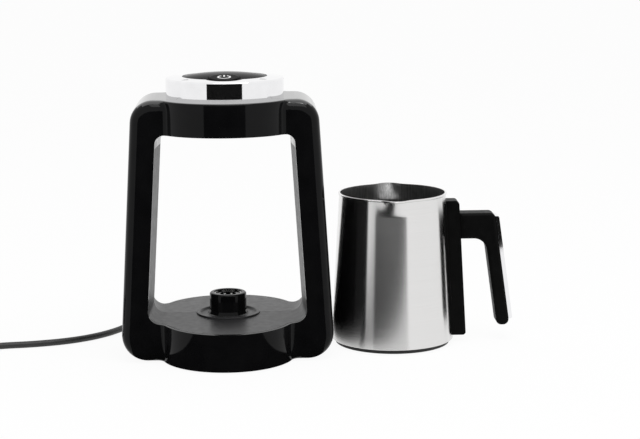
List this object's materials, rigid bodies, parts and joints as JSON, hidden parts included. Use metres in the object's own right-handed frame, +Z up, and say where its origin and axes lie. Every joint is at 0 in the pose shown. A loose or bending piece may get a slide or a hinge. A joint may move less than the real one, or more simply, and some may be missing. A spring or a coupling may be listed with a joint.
{
  "type": "electric Turkish coffee maker",
  "caption": "Electric coffee maker: black arched station with a round chrome-ringed control panel and connector post, and a brushed steel pot with double spout and side handle.",
  "frame": {"origin": "on the floor, on the axis of the connector post", "axes": "+Z up along the connector post, -Y towards the front with the button, +X towards the side where the pot stands"},
  "size_m": [0.6733, 0.2486, 0.2525],
  "materials": {
    "gloss_black": "high gloss",
    "satin_lining": "satin",
    "panel_gloss": "high gloss",
    "ring_chrome": "polished",
    "matte_black": "fine grain",
    "lens_smoke": "smoked",
    "contact_metal": "bright",
    "board_green": "solder mask",
    "switch_plastic": "moulded",
    "foot_rubber": "matt",
    "pot_steel": "fine horizontal brush",
    "pot_base_black": "fine grain",
    "heater_aluminium": "cast",
    "element_steel": "drawn",
    "handle_black": "satin",
    "cord_black": "satin",
    "pin_nickel": "nickel"
  },
  "bodies": {
    "station": {"front_shell": "gloss_black", "rear_shell": "gloss_black", "top_cover": "gloss_black", "deck_front": "satin_lining", "deck_rear": "satin_lining", "top_panel": "panel_gloss", "chrome_ring": "ring_chrome", "connector_post": "matte_black", "post_collar": "matte_black", "base_plate": "matte_black", "panel_carrier": "matte_black", "sensor_plate": "matte_black", "cord_gland": "matte_black", "sensor_lens": "lens_smoke", "contact_ring": "contact_metal", "contact_left": "contact_metal", "contact_right": "contact_metal", "power_board": "board_green", "switch_board": "board_green", "power_relay": "switch_plastic", "button_switch": "switch_plastic", "foot_front_left": "foot_rubber", "foot_front_right": "foot_rubber", "foot_rear_left": "foot_rubber", "foot_rear_right": "foot_rubber", "cord": "cord_black", "cord_coil": "cord_black", "cord_lead": "cord_black", "plug_body": "cord_black", "plug_pin_near": "pin_nickel", "plug_pin_far": "pin_nickel"},
    "button": {"power_button": "panel_gloss"},
    "pot": {"pot_body": "pot_steel", "pot_base": "pot_base_black", "heater_plate": "heater_aluminium", "heating_element": "element_steel", "handle_bracket": "handle_black", "handle_grip": "handle_black", "handle_strip": "ring_chrome"}
  },
  "joints": [
    {"name": "button_press", "type": "slide", "parent": "station", "child": "button", "axis": [0, 0, -1], "range_m": [0, 0.001], "stiffness_N_per_m": 400},
    {"name": "pot_lift", "type": "slide", "parent": "station", "child": "pot", "axis": [0, 0, 1], "range_m": [0, 0.16]}
  ]
}
